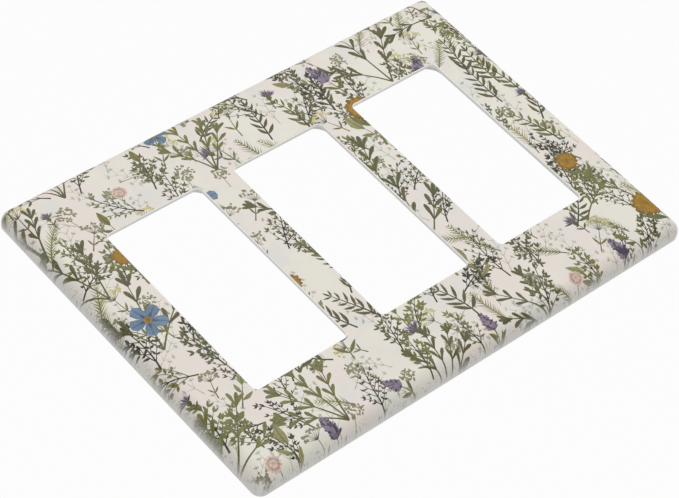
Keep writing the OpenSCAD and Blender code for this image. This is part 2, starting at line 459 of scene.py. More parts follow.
    def frond(self, foot: Point, heading: float, size: float, ink: Ink = Ink.MOSS) -> None:
        """Grows one broad leaf and two small ones on a stalk."""
        spots = self.stalk(foot, heading, size * 0.6, sway=40, steps=3, width=0.45, ink=Ink.OLIVE)
        self.mark(*spots[-1], size * 0.5, size * 0.2, ink, Outline.LEAF, vein=1.0,
                  bend=self.draw.uniform(-0.08, 0.08))
        for side, (spot, turn) in zip(SIDES, spots[1:]):
            self.mark(spot, turn + side * 40, self.vary(size * 0.3), size * 0.1, ink, Outline.LEAF,
                      vein=1.0, bend=side * 0.06)

    def willow(self, foot: Point, heading: float, size: float, ink: Ink = Ink.OLIVE) -> None:
        """Grows a stem with long leaves in pairs."""
        spots = self.stalk(foot, heading, size, sway=35, steps=6, width=0.55, ink=Ink.DARK_OLIVE)
        for index, (spot, turn) in enumerate(spots[1:], 1):
            length = size * (0.36 - 0.03 * index)
            for side in SIDES:
                self.mark(spot, turn + side * self.draw.uniform(30, 48), self.vary(length),
                          length * 0.24, ink, Outline.LEAF, vein=1.0,
                          bend=side * self.draw.uniform(-0.02, 0.1))
        self.mark(*spots[-1], size * 0.2, size * 0.05, ink, Outline.LEAF, vein=1.0)

    def fern(self, foot: Point, heading: float, size: float, ink: Ink = Ink.SAGE) -> None:
        """Grows a feathery spike of needles."""
        steps = int(size / 0.95)
        spots = self.path(foot, heading, size, self.draw.uniform(-30, 30), steps)
        self.stem(spots[::3], 0.4, Ink.OLIVE)
        for index, (spot, turn) in enumerate(spots[2:], 2):
            length = 3.4 * math.sin(math.pi * (0.12 + 0.8 * index / steps)) ** 0.7
            for side in SIDES:
                self.mark(spot, turn + side * self.draw.uniform(34, 50), self.vary(length, 0.15), 0.46,
                          ink, Outline.NEEDLE, vein=0.0)

    def umbel(self, foot: Point, heading: float, size: float, ink: Ink = Ink.STRAW) -> None:
        """Grows a stem that ends in a spray of dots."""
        spots = self.stalk(foot, heading, size * 0.65, sway=20, steps=3, width=0.4, ink=Ink.OLIVE)
        top, turn = spots[-1]
        for index in range(9):
            ray = self.path(top, turn + (index - 4) * 16 + self.draw.uniform(-5, 5),
                            size * 0.34 * self.draw.uniform(0.8, 1.1), 6, 1)
            self.stem(ray, 0.2, Ink.OLIVE)
            x, y = ray[-1][0]
            for _ in range(3):
                self.mark((x + self.draw.uniform(-0.6, 0.6), y + self.draw.uniform(-0.6, 0.6)),
                          self.draw.uniform(0, 360), 0.8, 0.8, ink, Outline.DOT, vein=0.0)
        self.leaf_pair(spots[1][0], heading, 42, size * 0.28, size * 0.06)

    def stipple(self, foot: Point, heading: float, size: float, ink: Ink = Ink.GREY_GREEN) -> None:
        """Grows a round head of fine grains on a short stem."""
        self.stem(self.path(foot, heading, size * 0.6, 10, 2), 0.35, Ink.SAGE)
        angle = math.radians(heading)
        for _ in range(int(size * 6)):
            reach, turn = size * 0.32 * math.sqrt(self.draw.random()), self.draw.uniform(0, math.tau)
            self.mark((foot[0] + math.cos(angle) * size * 0.8 + reach * math.cos(turn),
                       foot[1] + math.sin(angle) * size * 0.8 + reach * math.sin(turn)),
                      self.draw.uniform(0, 360), self.vary(0.85), self.vary(0.6), ink, Outline.DOT,
                      vein=0.0)

    def line_flower(self, foot: Point, heading: float, size: float, ink: Ink = Ink.MIST) -> None:
        """Grows a faint plant of thin lines."""
        spots = self.stalk(foot, heading, size, sway=25, steps=4, width=0.3, ink=ink)
        for spot, turn in spots[1:]:
            for side in SIDES:
                arm = self.path(spot, turn + side * self.draw.uniform(25, 60), size * 0.22, 0, 1)
                self.stem(arm, 0.24, ink)
                top, bearing = arm[-1]
                for lean in (-50, 0, 50):
                    self.mark(top, bearing + lean, self.vary(1.1), 0.5, ink, vein=0.0)

    def pompon(self, foot: Point, heading: float, size: float) -> None:
        """Grows an ochre head of overlapping florets."""
        stalk = self.stalk(foot, heading, size, sway=15, steps=4, width=0.8, ink=Ink.MOSS)
        for side, (spot, turn) in zip(SIDES, stalk[1:]):
            self.mark(spot, turn + side * 40, size * 0.55, size * 0.12, Ink.MOSS, Outline.LEAF,
                      vein=1.0, bend=side * 0.08)
        top, turn = stalk[-1]
        for lean in (-60, -30, 30, 60):
            self.mark(top, turn + lean, size * 0.3, size * 0.1, Ink.MOSS, Outline.LEAF, vein=0.6)
        self.florets(top, turn, size * 0.29, (Ink.RUST, Ink.OCHRE, Ink.OCHRE, Ink.OCHRE))

    def florets(self, centre: Point, heading: float, radius: float, inks: tuple[Ink, ...]) -> None:
        """Lays rings of short petals over each other.

        Args:
            centre: Middle of the head.
            heading: Where the head faces, in degrees.
            radius: Its radius.
            inks: One pigment for each ring, from the outside.
        """
        for ring, ink in enumerate(inks):
            reach = radius * (1 - 0.75 * ring / len(inks))
            count = max(5, int(14 * reach / radius))
            for index in range(count):
                turn = heading + 360 * (index + ring / 2) / count
                self.mark(centre, turn, self.vary(reach, 0.08), radius * 0.42, ink, Outline.PETAL,
                          vein=0.7)

    def cone(self, foot: Point, heading: float, size: float) -> None:
        """Grows an upright lilac cone of scales on a leafy stem."""
        stalk = self.stalk(foot, heading, size * 0.5, sway=15, steps=3, width=0.5, ink=Ink.MOSS)
        self.leaf_pair(stalk[1][0], heading, -45, size * 0.4, size * 0.09)
        top, turn = stalk[-1]
        rows = 9
        axis = self.path(top, turn, size * 0.5, 0, rows)
        for row in range(rows, -1, -1):
            spot, spread = axis[row][0], 1.0 - 0.6 * (row / rows) ** 1.5
            for lean in (-62, 62, -36, 36, -10, 12):
                pick = Ink.VIOLET if self.draw.random() < 0.45 else Ink.LILAC
                bearing = turn + lean * spread
                self.mark(spot, bearing, self.vary(size * 0.18 * spread + 0.5), size * 0.06, pick,
                          Outline.PETAL, vein=0.6)
                self.mark(spot, bearing, size * 0.1 * spread, 0.3, Ink.VIOLET, Outline.NEEDLE, vein=0.0)

    def thistle(self, foot: Point, heading: float, size: float) -> None:
        """Grows a green bulb with a tuft of violet blades."""
        stalk = self.stalk(foot, heading, size * 0.6, sway=20, steps=3, width=0.45, ink=Ink.OLIVE)
        top, turn = stalk[-1]
        for index in range(15):
            self.mark(top, turn + (index - 7) * 10 + self.draw.uniform(-4, 4), self.vary(size * 0.36),
                      size * 0.06, Ink.VIOLET if index % 3 else Ink.LILAC, Outline.BLADE, vein=0.0)
        self.mark(stalk[-2][0], turn, size * 0.32, size * 0.2, Ink.OLIVE, Outline.LEAF, vein=0.8)
        self.leaf_pair(stalk[1][0], heading, 50, size * 0.3, size * 0.07, Ink.OLIVE)

    def star(self, foot: Point, heading: float, size: float) -> None:
        """Grows an open blue flower of five petals."""
        stalk = self.stalk(foot, heading, size * 0.7, sway=20, steps=3, width=0.5, ink=Ink.MOSS)
        self.leaf_pair(stalk[1][0], heading, 38, size * 0.45, size * 0.11)
        top, turn = stalk[-1]
        for index in range(5):
            bearing = turn + 72 * index
            self.mark(top, bearing, size * 0.42, size * 0.3, Ink.BLUE, Outline.PETAL, vein=0.8)
            self.mark(top, bearing, size * 0.24, size * 0.07, Ink.SLATE, Outline.LEAF, vein=0.0)
        self.florets(top, turn, size * 0.09, (Ink.OCHRE, Ink.RUST))

    def rosette(self, foot: Point, heading: float, size: float) -> None:
        """Grows a dusty pink flower."""
        stalk = self.stalk(foot, heading, size * 0.6, sway=20, steps=3, width=0.4, ink=Ink.SAGE)
        self.florets(stalk[-1][0], heading, size * 0.3, (Ink.PINK, Ink.ROSE, Ink.PINK))

    def spots(self, gap: float) -> list[Point]:
        """Scatters feet over the cover, clear of each other.

        Args:
            gap: Least distance between two feet.

        Returns:
            The feet.
        """
        found: list[Point] = []
        width, height = self.shape.half_w + self.overhang, self.shape.half_h
        for _ in range(self.tries):
            x = self.draw.uniform(-width, width)
            y = self.draw.uniform(-height - self.margin, height - self.margin)
            if self.shape.in_window(x, y + self.window_lift * gap, -self.window_shrink * gap):
                continue
            if all(math.hypot(x - a, y - b) > gap for a, b in found):
                found.append((x, y))
        return found

    def lean(self, spread: float) -> float:
        """Returns a heading near the way up."""
        return UP + self.draw.gauss(0, spread / 2)

    def grow(self) -> list[Mark]:
        """Plants the whole cover, from the faint ground to the blooms.

        Returns:
            The marks in the order in which they cover each other.
        """
        for foot in self.spots(self.faint_gap):
            self.line_flower(foot, self.lean(70), self.vary(11))
        plants = ((self.twig, 16, Ink.OLIVE), (self.twig, 14, Ink.MOSS), (self.twig, 15, Ink.DARK_OLIVE),
                  (self.fern, 13, Ink.SAGE), (self.fern, 15, Ink.MOSS), (self.umbel, 12, Ink.STRAW),
                  (self.umbel, 11, Ink.GREY_GREEN), (self.stipple, 8, Ink.GREY_GREEN),
                  (self.twig, 16, Ink.OLIVE), (self.willow, 14, Ink.OLIVE))
        sprays = ((self.tuft, 18, Ink.MOSS), (self.tuft, 20, Ink.OLIVE), (self.willow, 17, Ink.MOSS),
                  (self.frond, 12, Ink.MOSS), (self.frond, 14, Ink.SAGE))
        for kinds, gap, spread in ((plants, self.plant_gap, 60), (sprays, self.spray_gap, 50)):
            for foot in self.spots(gap):
                grower, size, ink = self.draw.choice(kinds)
                grower(foot, self.lean(spread), self.vary(size), ink)
        blooms = ((self.pompon, 16), (self.thistle, 9), (self.rosette, 8), (self.cone, 12),
                  (self.thistle, 8), (self.star, 12), (self.cone, 11), (self.rosette, 8),
                  (self.thistle, 9), (self.pompon, 13), (self.cone, 12), (self.rosette, 7),
                  (self.thistle, 9), (self.cone, 10))
        for index, foot in enumerate(self.spots(self.bloom_gap)):
            grower, size = blooms[index % len(blooms)]
            grower(foot, self.lean(30), self.vary(size, 0.15))
        return self.marks


# ---------------------------------------------------------------- the film that carries the print

# Owners in a sheet that aren't marks
PAPER, HOLE = -1, -2


def clip(points: list[Point], low: Point, high: Point) -> list[Point]:
    """Cuts a polygon to a box.

    Args:
        points: The polygon.
        low: The box's lowest corner.
        high: The box's highest corner.

    Returns:
        What is left of it, or an empty list.
    """
    for axis, bound, keep in ((0, low[0], 1), (0, high[0], -1), (1, low[1], 1), (1, high[1], -1)):
        kept = []
        for start, end in zip(points, points[1:] + points[:1]):
            a, b = keep * (start[axis] - bound), keep * (end[axis] - bound)
            if a >= 0:
                kept.append(start)
            if (a > 0 > b) or (a < 0 < b):
                share = a / (a - b)
                spot = [start[k] + share * (end[k] - start[k]) for k in (0, 1)]
                spot[axis] = bound
                kept.append(tuple(spot))
        points = kept
        if len(points) < 2:
            return []
    return points


def area(points: list) -> float:
    """Measures a polygon.

    Args:
        points: Its points, anticlockwise.

    Returns:
        Its area.
    """
    return sum(a[0] * b[1] - b[0] * a[1] for a, b in zip(points, points[1:] + points[:1])) / 2


@dataclass
class Sheet:
    """Flat triangulation of the print: its points, its triangles and the mark that shows on each."""

    points: np.ndarray
    triangles: np.ndarray
    owners: np.ndarray

    def part(self, chosen: np.ndarray) -> Sheet:
        """Returns the sheet with only the chosen triangles."""
        return Sheet(self.points, self.triangles[chosen], self.owners[chosen])


@dataclass
class PrintCutter:
    """Cuts overlapping marks into one flat triangulation, tile by tile."""

    shape: CoverShape
    marks: list[Mark]
    tile: float = 7.5
    tilt_step: float = 15.0
    snap: float = 1e-4
    least_area: float = 1e-3
    passes: int = 8
    leak: float = 0.02
    merge: float = 1e-5
    flatness: float = 0.02
    owner_stride: int = 23
    key_limit: int = 32749

    def creases(self) -> list[tuple[Point, Point]]:
        """Draws the lines on which the film bends: level lines of the rolled edge and the mitres.

        Returns:
            Their straight stretches.
        """
        lines = []
        for step in range(1, round(90 / self.tilt_step) + 1):
            inset = self.shape.edge_r * (1 - math.cos(math.radians(step * self.tilt_step)))
            loop = self.shape.outline(inset)
            lines += list(zip(loop, loop[1:] + loop[:1]))
        for sx in SIDES:
            for sy in SIDES:
                lines.append(tuple((sx * (self.shape.half_w - i), sy * (self.shape.half_h - i))
                                   for i in (self.shape.corner_r, self.shape.edge_r)))
        return lines

    def cut(self) -> Sheet:
        """Triangulates all tiles and joins them.

        Returns:
            The flat triangulation, without the windows.
        """
        shape = self.shape
        across = math.ceil(2 * shape.half_w / self.tile)
        up = math.ceil(2 * shape.half_h / self.tile)
        xs = np.linspace(-shape.half_w, shape.half_w, across + 1).tolist()
        ys = np.linspace(-shape.half_h, shape.half_h, up + 1).tolist()
        layers = [(PAPER, shape.outline(0.0))]
        layers += [(index, list(mark.points)) for index, mark in enumerate(self.marks)]
        layers += [(HOLE, shape.window(gang)) for gang in GANGS]
        tiles = {(i, j): [] for i in range(across) for j in range(up)}
        lines = {key: [] for key in tiles}
        jobs = [(owner, points, tiles) for owner, points in layers]
        jobs += [(None, list(line), lines) for line in self.creases()]
        on_line: dict[tuple[str, int], set[float]] = {}
        for owner, points, target in jobs:
            px, py = zip(*points)
            first_i, last_i = (self.index(v, xs) for v in (min(px), max(px)))
            first_j, last_j = (self.index(v, ys) for v in (min(py), max(py)))
            for i in range(first_i, last_i + 1):
                for j in range(first_j, last_j + 1):
                    part = clip(points, (xs[i], ys[j]), (xs[i + 1], ys[j + 1]))
                    if owner is None and part:
                        part = [min(part), max(part)]
                    elif len(part) < 3 or area(part) < self.least_area:
                        continue
                    target[i, j].append((owner, part))
                    for x, y in part:
                        for k in (i, i + 1):
                            if x == xs[k]:
                                on_line.setdefault(("x", k), set()).add(y)
                        for k in (j, j + 1):
                            if y == ys[k]:
                                on_line.setdefault(("y", k), set()).add(x)
        points, triangles, owners = [], [], []
        for (i, j), polygons in tiles.items():
            width, height = xs[i + 1] - xs[i], ys[j + 1] - ys[j]
            if any(owner == HOLE and len(part) == 4 and self.fills(part, width, height)
                   for owner, part in polygons):
                continue
            extra = [(xs[k], y) for k in (i, i + 1) for y in on_line.get(("x", k), ())
                     if ys[j] <= y <= ys[j + 1]]
            extra += [(x, ys[k]) for k in (j, j + 1) for x in on_line.get(("y", k), ())
                      if xs[i] <= x <= xs[i + 1]]
            self.cut_tile(polygons, lines[i, j], extra, points, triangles, owners)
        return self.join(np.array(points), np.array(triangles), np.array(owners))

    @staticmethod
    def index(value: float, edges: list[float]) -> int:
        """Finds the tile that a coordinate falls in."""
        share = (value - edges[0]) / (edges[-1] - edges[0])
        return max(0, min(len(edges) - 2, math.floor(share * (len(edges) - 1))))

    @staticmethod
    def fills(part: list[Point], width: float, height: float) -> bool:
        """Tells whether a clipped polygon covers its whole tile."""
        px, py = zip(*part)
        return max(px) - min(px) > width - TINY and max(py) - min(py) > height - TINY

    def cut_tile(self, polygons: list, lines: list, extra: list[Point], points: list, triangles: list,
                 owners: list) -> None:
        """Triangulates one tile and adds it to the lists.

        The triangulation can let a polygon leak over its outline. One that does is left out of the tile.

        Args:
            polygons: Owner and points of each polygon, in the order in which they cover each other.
            lines: Creases in the tile.
            extra: Points on the tile's edge that its neighbours have.
            points: List of points that grows.
            triangles: List of triangles that grows.
            owners: List of the triangles' owners that grows.
        """
        spots, faces, edges = [], [], []
        for _, part in polygons:
            faces.append(list(range(len(spots), len(spots) + len(part))))
            spots += part
        for _, line in lines:
            if line and line[0] != line[1]:
                edges.append((len(spots), len(spots) + 1))
                spots += line
        spots += extra
        places = [Vector(spot) for spot in spots]
        lost: set[int] = set()
        for _ in range(self.passes):
            made, _, cells, _, _, origins = delaunay_2d_cdt(places, edges, faces, 1, self.merge)
            origins = [[index for index in origin if index not in lost] for origin in origins]
            room = [area([spots[k] for k in face]) for face in faces]
            for cell, origin in zip(cells, origins):
                size = area([made[k] for k in cell])
                for index in origin:
                    room[index] -= size
            leaks = [index for index, left in enumerate(room)
                     if left < -self.leak and index not in lost]
            if not leaks:
                break
            lost.update(leaks)
            for index in leaks:
                faces[index] = faces[index][:1] * 3
        start = len(points)
        points += [(v.x, v.y) for v in made]
        for cell, origin in zip(cells, origins):
            if not origin or polygons[min(origin)][0] != PAPER:
                continue
            owner = polygons[max(origin)][0]
            if owner != HOLE:
                triangles.append([start + k for k in cell])
                owners.append(owner)

    def join(self, points: np.ndarray, triangles: np.ndarray, owners: np.ndarray) -> Sheet:
        """Welds the tiles and drops what has no area.

        Args:
            points: All points.
            triangles: All triangles.
            owners: Mark that shows on each triangle.

        Returns:
            The joined sheet.
        """
        _, first, inverse = np.unique(np.round(points / self.snap).astype(np.int64), axis=0,
                                      return_index=True, return_inverse=True)
        triangles = inverse.reshape(-1)[triangles]
        a, b, c = triangles.T
        good = (a != b) & (b != c) & (a != c)
        return self.simplify(Sheet(points[first], triangles[good], owners[good]))

    def simplify(self, sheet: Sheet) -> Sheet:
        """Removes the edges that lie inside one mark and inside one band of the rolled edge.

        Args:
            sheet: The full triangulation.

        Returns:
            The same picture with fewer triangles.
        """
        middle = sheet.points[sheet.triangles].mean(axis=1)
        inset, out_x, _ = self.shape.inset(middle[:, 0], middle[:, 1])
        tilt = np.degrees(np.arccos(np.clip(1 - inset / self.shape.edge_r, 0, 1)))
        band = np.where(inset < self.shape.edge_r, 2 * np.floor(tilt / self.tilt_step) + 2, 0)
        band += (inset > self.shape.corner_r) & (band > 0) & (np.abs(out_x) > 0.5)
        flat = bpy.data.meshes.new("flat_print")
        flat.from_pydata(np.column_stack([sheet.points, np.zeros(len(sheet.points))]).tolist(), [],
                         sheet.triangles.tolist())
        key = ((sheet.owners + 1) * self.owner_stride + band).astype(np.int64) % self.key_limit
        flat.polygons.foreach_set("material_index", key.astype(np.int32))
        owned = flat.attributes.new("owner", "INT", "FACE")
        owned.data.foreach_set("value", sheet.owners.astype(np.int32))
        work = bmesh.new()
        work.from_mesh(flat)
        bmesh.ops.dissolve_limit(work, angle_limit=math.radians(self.flatness),
                                 use_dissolve_boundaries=False, verts=work.verts[:],
                                 edges=work.edges[:], delimit={"MATERIAL"})
        bmesh.ops.triangulate(work, faces=work.faces[:])
        work.to_mesh(flat)
        work.free()
        points = np.empty(len(flat.vertices) * 3)
        flat.vertices.foreach_get("co", points)
        triangles = np.empty(len(flat.loops), dtype=np.int32)
        flat.loops.foreach_get("vertex_index", triangles)
        owners = np.empty(len(flat.polygons), dtype=np.int32)
        flat.attributes["owner"].data.foreach_get("value", owners)
        bpy.data.meshes.remove(flat)
        LOG.info("flat print: %d of %d triangles kept", len(owners), len(sheet.owners))
        return Sheet(points.reshape(-1, 3)[:, :2], triangles.reshape(-1, 3), owners)


class Side(Enum):
    """What a face of the film is."""

    TOP = 0
    WALL = 1
    HIDDEN = 2


class FilmMesh:
    """Growing mesh of one film, from its printed top to its underside inside the moulding."""

    ring_steps = 6
    least_radius = 0.05
    merge = 1e-7

    def __init__(self, shape: CoverShape, sheet: Sheet, proud: float) -> None:
        """Lifts the flat sheet onto the cover.

        Args:
            shape: The cover's surface.
            sheet: Flat triangulation of this film's part of the print.
            proud: How far the film stands off the moulding.
        """
        self.shape = shape
        used, flat = np.unique(sheet.triangles, return_inverse=True)
        self.plan = sheet.points[used]
        top, self.normals = shape.surface(self.plan[:, 0], self.plan[:, 1], proud)
        self.points = top.tolist()
        self.faces = flat.reshape(-1, 3).tolist()
        self.owners = sheet.owners.tolist()
        self.sides = [Side.TOP.value] * len(self.faces)
        self.owner_of: dict[tuple[int, int], int] = {}

    def free_edges(self) -> list[tuple[int, int]]:
        """Finds the edges of the top that only one triangle has, in that triangle's direction."""
        owner_of = self.owner_of
        for (a, b, c), owner in zip(self.faces, self.owners):
            owner_of[a, b] = owner_of[b, c] = owner_of[c, a] = owner
        return [(a, b) for a, b in owner_of if (b, a) not in owner_of]

    def insets(self, edges: list[tuple[int, int]]) -> np.ndarray:
        """Measures how far the middles of edges lie inside the outline."""
        middle = self.plan[np.array(edges)].mean(axis=1)
        return self.shape.inset(middle[:, 0], middle[:, 1])[0]

    def add_face(self, corners: list[int], side: Side, owner: int = PAPER) -> None:
        """Adds one face."""
        self.faces.append(corners)
        self.owners.append(owner)
        self.sides.append(side.value)

    def curtain(self, edges: list[tuple[int, int]], level: float, side: Side) -> list[tuple[int, int]]:
        """Hangs upright faces from edges of the top.

        Args:
            edges: The edges.
            level: Height of the curtain's foot.
            side: What its faces are. Walls carry on the marks above them.

        Returns:
            The edges along its foot, in the direction of those above.
        """
        below = {}
        for edge in edges:
            for index in edge:
                if index not in below:
                    below[index] = len(self.points)
                    self.points.append([*self.points[index][:2], level])
        for a, b in edges:
            self.add_face([b, a, below[a], below[b]], side,
                          self.owner_of[a, b] if side is Side.WALL else PAPER)
        return [(below[a], below[b]) for a, b in edges]

    def rings(self, levels: list[tuple[float, float]]) -> list[list[tuple[int, int]]]:
        """Joins coarse rings into an inner skin.

        Args:
            levels: Inset and height of each ring.

        Returns:
            The edges of the first and of the last ring.
        """
        rows = []
        for inset, level in levels:
            ring = round_rect(self.shape.half_w - inset, self.shape.half_h - inset,
                              max(self.shape.corner_r - inset, self.least_radius), self.ring_steps)
            rows.append(list(range(len(self.points), len(self.points) + len(ring))))
            self.points += [[x, y, level] for x, y in ring]
        for low, high in zip(rows, rows[1:]):
            for k, (a, b) in enumerate(zip(low, high)):
                n = (k + 1) % len(low)
                self.add_face([a, b, high[n], low[n]], Side.HIDDEN)
        return [list(zip(row, row[1:] + row[:1])) for row in (rows[0], rows[-1])]

    def fill(self, edges: list[tuple[int, int]],
             keep: Callable[[np.ndarray, np.ndarray], np.ndarray]) -> None:
        """Fills a level area between closed loops, facing down.

        Args:
            edges: The loops' edges.
            keep: Tells from the X and Y of triangles' middles which of them are kept.
        """
        used = sorted({index for edge in edges for index in edge})
        local = {index: k for k, index in enumerate(used)}
        spots = [Vector(self.points[index][:2]) for index in used]
        loops = [(local[a], local[b]) for a, b in edges]
        made, _, cells, sources, _, _ = delaunay_2d_cdt(spots, loops, [], 1, self.merge)
        middles = np.array([[sum(made[k].x for k in cell), sum(made[k].y for k in cell)]
                            for cell in cells]) / 3
        for cell, kept in zip(cells, keep(middles[:, 0], middles[:, 1])):
            if kept:
                self.add_face([used[sources[k][0]] for k in reversed(cell)], Side.HIDDEN)


@dataclass
class PrintedFilm:
    """The closed skins on the cover that carry the print: one on its face, one on its rolled edge."""

    shape: CoverShape
    marks: list[Mark]
    material: bpy.types.Material
    proud: float = 0.05
    foot_z: float = 0.3
    depth: float = 0.4
    inner_tilts: tuple[float, ...] = (28, 56, 84)

    def build(self) -> list[bpy.types.Object]:
        """Makes both films.

        Returns:
            Their objects.
        """
        sheet = PrintCutter(self.shape, self.marks).cut()
        middle = sheet.points[sheet.triangles].mean(axis=1)
        rolled = self.shape.inset(middle[:, 0], middle[:, 1])[0] < self.shape.edge_r
        face = FilmMesh(self.shape, sheet.part(~rolled), self.proud)
        edge = FilmMesh(self.shape, sheet.part(rolled), self.proud)
        self.close_face(face)
        self.close_edge(edge)
        return [self.finish("face_print", face), self.finish("edge_print", edge)]

    def close_face(self, film: FilmMesh) -> None:
        """Gives the flat film its thickness."""
        low = film.curtain(film.free_edges(), self.shape.depth - self.depth, Side.HIDDEN)
        film.fill(low, lambda x, y: ~self.in_holes(x, y))

    def close_edge(self, film: FilmMesh) -> None:
        """Gives the rolled film its side walls and its underside."""
        shape, roll = self.shape, self.shape.edge_r - self.depth
        levels = [(self.depth, self.foot_z), (self.depth, shape.wall_top)]
        for angle in map(math.radians, self.inner_tilts):
            levels.append((self.depth + roll * (1 - math.cos(angle)),
                           shape.wall_top + roll * math.sin(angle)))
        free = film.free_edges()
        at_rim = film.insets(free) < shape.edge_r / 2
        rim = [edge for edge, outer in zip(free, at_rim) if outer]
        seam = [edge for edge, outer in zip(free, at_rim) if not outer]
        feet = film.curtain(rim, self.foot_z, Side.WALL)
        sill = film.curtain(seam, levels[-1][1], Side.HIDDEN)
        first, last = film.rings(levels)
        film.fill(feet + first, lambda x, y: shape.inset(x, y)[0] < self.depth)
        film.fill(sill + last, lambda x, y: (shape.inset(x, y)[0] > levels[-1][0])
                  & (shape.inset(x, y)[0] < shape.edge_r))

    def in_holes(self, x: np.ndarray, y: np.ndarray) -> np.ndarray:
        """Tells which points lie in a window's opening in the film."""
        shape = self.shape
        gang = np.clip(np.round(x / shape.gang_pitch), -1, 1)
        off_x = np.abs(x - gang * shape.gang_pitch) - shape.window_w / 2 - shape.window_edge
        off_y = np.abs(y) - shape.window_h / 2 - shape.window_edge
        radius = shape.window_r + shape.window_edge
        corner = np.hypot(np.maximum(off_x + radius, 0), np.maximum(off_y + radius, 0)) < radius
        return (off_x < 0) & (off_y < 0) & corner

    def finish(self, name: str, film: FilmMesh) -> bpy.types.Object:
        """Turns a film into an object with its attributes, UV map and normals.

        Args:
            name: The object's name.
            film: The film.

        Returns:
            The object.
        """
        mesh = bpy.data.meshes.new(name)
        points = np.array(film.points)
        mesh.from_pydata((points * MM).tolist(), [], film.faces)
        corners = np.empty(len(mesh.loops), dtype=np.int32)
        mesh.loops.foreach_get("vertex_index", corners)
        totals = np.array([len(face) for face in film.faces])
        side = np.repeat(film.sides, totals)
        spots = points[corners]
        self.add_ink(mesh, spots, np.repeat(film.owners, totals))
        self.unroll(mesh, spots, side != Side.HIDDEN.value)
        _, out_x, out_y = self.shape.inset(spots[:, 0], spots[:, 1])
        normals = np.stack([out_x, out_y, np.zeros(len(spots))], axis=1)
        flat = np.empty(len(mesh.polygons) * 3)
        mesh.polygons.foreach_get("normal", flat)
        top, hidden = side == Side.TOP.value, side == Side.HIDDEN.value
        normals[top] = film.normals[corners[top]]
        normals[hidden] = np.repeat(flat.reshape(-1, 3), totals, axis=0)[hidden]
        mesh.shade_smooth()
        mesh.normals_split_custom_set(normals.tolist())
        mesh.materials.append(self.material)
        made = bpy.data.objects.new(name, mesh)
        bpy.context.scene.collection.objects.link(made)
        LOG.info("%s: %d faces, %d marks", name, len(film.faces), len(set(film.owners)))
        return made

    def add_ink(self, mesh: bpy.types.Mesh, spots: np.ndarray, owner: np.ndarray) -> None:
        """Stores each corner's pigment and its place in its mark.

        Args:
            mesh: The film's mesh.
            spots: Place of each corner.
            owner: Mark that shows there.
        """
        marked = owner >= 0
        picked = np.where(marked, owner, 0)
        rows = zip(*((mark.colour, mark.foot, mark.along, mark.length, mark.half_width, mark.bend,
                      mark.vein) for mark in self.marks))
        colour, foot, way, length, half, bend, vein = (np.array(row)[picked] for row in rows)
        offset = spots[:, :2] - foot
        along = (offset * way).sum(axis=1) / length
        across = offset[:, 1] * way[:, 0] - offset[:, 0] * way[:, 1]
        across = (across - bend * length * 4 * along * (1 - along)) / half
        full = np.column_stack([colour, np.ones(len(colour))])
        ink = np.where(marked[:, None], full, (1.0, 1.0, 1.0, 0.0))
        leaf = np.where(marked[:, None], np.stack([along, across, vein], axis=1), 0.0)
        colours = mesh.attributes.new("ink", "FLOAT_COLOR", "CORNER")
        colours.data.foreach_set("color", ink.astype(np.float32).ravel())
        places = mesh.attributes.new("leaf", "FLOAT_VECTOR", "CORNER")
        places.data.foreach_set("vector", leaf.astype(np.float32).ravel())

    def unroll(self, mesh: bpy.types.Mesh, spots: np.ndarray, outside: np.ndarray) -> None:
        """Lays the film's outside flat in its UV map, and the underside beside it.

        Args:
            mesh: The film's mesh.
            spots: Place of each corner.
            outside: Which corners belong to the printed faces.
        """
        shape = self.shape
        drop = np.maximum(shape.wall_top - spots[:, 2], 0)
        _, out_x, out_y = shape.inset(spots[:, 0], spots[:, 1])
        flat = []
        for value, half, out in ((spots[:, 0], shape.half_w, out_x), (spots[:, 1], shape.half_h, out_y)):
            start = half - shape.edge_r
            lean = np.clip((np.abs(value) - start) / shape.edge_r, 0, 1)
            rolled = np.where(np.abs(value) > start, start + shape.edge_r * np.arcsin(lean),
                              np.abs(value))
            flat.append(np.sign(value) * rolled + drop * out)
        span = 2 * (shape.half_w - shape.edge_r + shape.edge_r * math.pi / 2 + shape.wall_top) + 1
        u = np.where(outside, 0.5 + flat[0] / span, 0.5 + 0.3 * spots[:, 0] / span)
        v = np.where(outside, 0.37 + flat[1] / span, 0.88 + 0.3 * spots[:, 1] / span)
        layer = mesh.uv_layers.new(name="OFBake")
        layer.data.foreach_set("uv", np.stack([u, v], axis=1).astype(np.float32).ravel())


# ---------------------------------------------------------------- finishes


